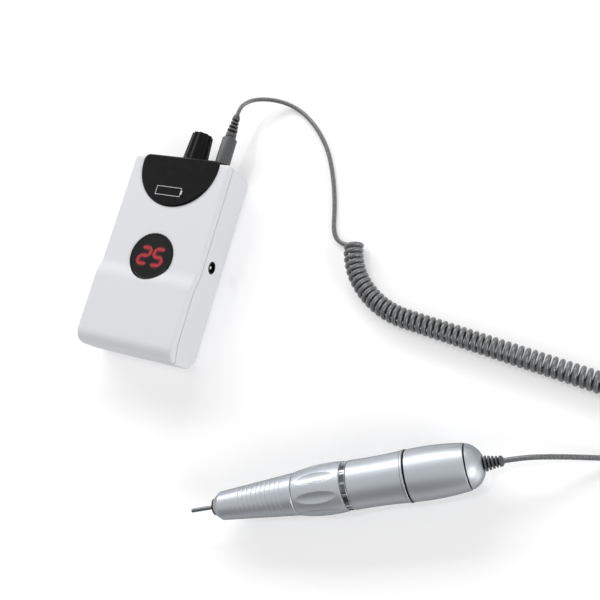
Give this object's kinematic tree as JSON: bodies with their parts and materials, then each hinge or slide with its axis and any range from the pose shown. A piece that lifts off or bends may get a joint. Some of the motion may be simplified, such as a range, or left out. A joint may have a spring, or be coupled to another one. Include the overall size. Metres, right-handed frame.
{
  "type": "surgical micromotor",
  "caption": "Battery control box with a speed knob and display, joined by a curly cord to a micromotor handpiece that grips and spins a small tool shank.",
  "frame": {"origin": "middle of the control box's back face, on the surface it lies on", "axes": "+X towards the box's charging socket, +Y towards its knob end, +Z out of its display"},
  "size_m": [0.359, 0.2664, 0.03],
  "materials": {
    "white_housing": "satin white moulding",
    "black_panel": "black, slightly glossy",
    "black_knob": "matt black",
    "screw_steel": "zinc-plated",
    "digit_housing": "dark block with red segments",
    "circuit_board": "green laminate",
    "inner_plastic": "black moulding",
    "cell_wrap": "blue shrink sleeve",
    "nickel": "nickel strip",
    "pot_metal": "die-cast",
    "dark_nut": "blackened",
    "grey_cord": "mid-grey flexible plastic",
    "satin_silver": "satin anodised",
    "dark_ring": "gunmetal",
    "bearing_steel": "ground steel",
    "cage_resin": "brown resin",
    "magnet": "dark grey",
    "core_iron": "laminated iron",
    "copper": "enamelled copper",
    "carbon": "carbon"
  },
  "bodies": {
    "control": {"rear_shell": "white_housing", "front_cover": "white_housing", "top_panel": "black_panel", "housing_screws": "screw_steel", "board_screws": "screw_steel", "display_lens": "black_panel", "digit_block": "digit_housing", "display_board": "circuit_board", "board_header": "inner_plastic", "main_board": "circuit_board", "battery_cells": "cell_wrap", "battery_tabs": "nickel", "battery_tray": "inner_plastic", "potentiometer": "pot_metal", "pot_nut": "screw_steel", "output_socket": "inner_plastic", "socket_nut": "dark_nut", "charge_socket": "inner_plastic", "charge_pin": "nickel", "plug_body": "grey_cord", "plug_pin": "nickel", "plug_boot": "grey_cord", "cord_lead": "grey_cord", "cord_coil": "grey_cord", "cord_tail": "grey_cord", "handpiece_boot": "grey_cord", "nose_ring": "dark_ring", "nose_cone": "satin_silver", "index_ring": "dark_ring", "grip_tube": "bearing_steel", "bearing_spacer": "bearing_steel", "end_cap": "satin_silver", "bearing_outer_rings": "bearing_steel", "bearing_cages": "cage_resin", "motor_housing_front": "satin_silver", "seam_ring": "black_knob", "motor_housing_rear": "satin_silver", "motor_can": "bearing_steel", "motor_end_plate": "bearing_steel", "motor_magnets": "magnet", "brush_holder": "inner_plastic", "brushes": "carbon", "brush_springs": "bearing_steel"},
    "knob": {"speed_knob": "black_knob", "pot_shaft": "screw_steel"},
    "lock_sleeve": {"lock_sleeve": "satin_silver"},
    "spindle": {"spindle_tube": "bearing_steel", "spindle_nut": "bearing_steel", "drive_coupling": "bearing_steel", "armature_shaft": "bearing_steel", "armature_core": "core_iron", "armature_windings": "copper", "commutator": "copper", "bearing_inner_rings": "bearing_steel"},
    "collet": {"collet": "bearing_steel", "cross_pin": "bearing_steel", "push_collar": "bearing_steel", "collet_spring": "bearing_steel"},
    "tool": {"tool_shank": "bearing_steel"}
  },
  "joints": [
    {"name": "speed_knob_turn", "type": "hinge", "parent": "control", "child": "knob", "pos_m": [0.0005, 0.07, 0.0145], "axis": [0, -1, 0], "range_deg": [0, 300]},
    {"name": "lock_twist", "type": "hinge", "parent": "control", "child": "lock_sleeve", "pos_m": [0.14586, -0.1111, 0.014], "axis": [0.9191, 0.3939, 0], "range_deg": [0, 60]},
    {"name": "spindle_spin", "type": "hinge", "parent": "control", "child": "spindle", "pos_m": [0.12197, -0.12134, 0.014], "axis": [0.9191, 0.3939, 0], "continuous": true},
    {"name": "collet_slide", "type": "slide", "parent": "spindle", "child": "collet", "axis": [-0.9191, -0.3939, 0], "range_m": [0, 0.001]},
    {"name": "tool_slide", "type": "slide", "parent": "collet", "child": "tool", "axis": [-0.9191, -0.3939, 0], "range_m": [0, 0.02]}
  ],
  "couplings": [
    {"joint": "lock_twist", "follows": "collet_slide", "rad_per_m": 1045}
  ]
}
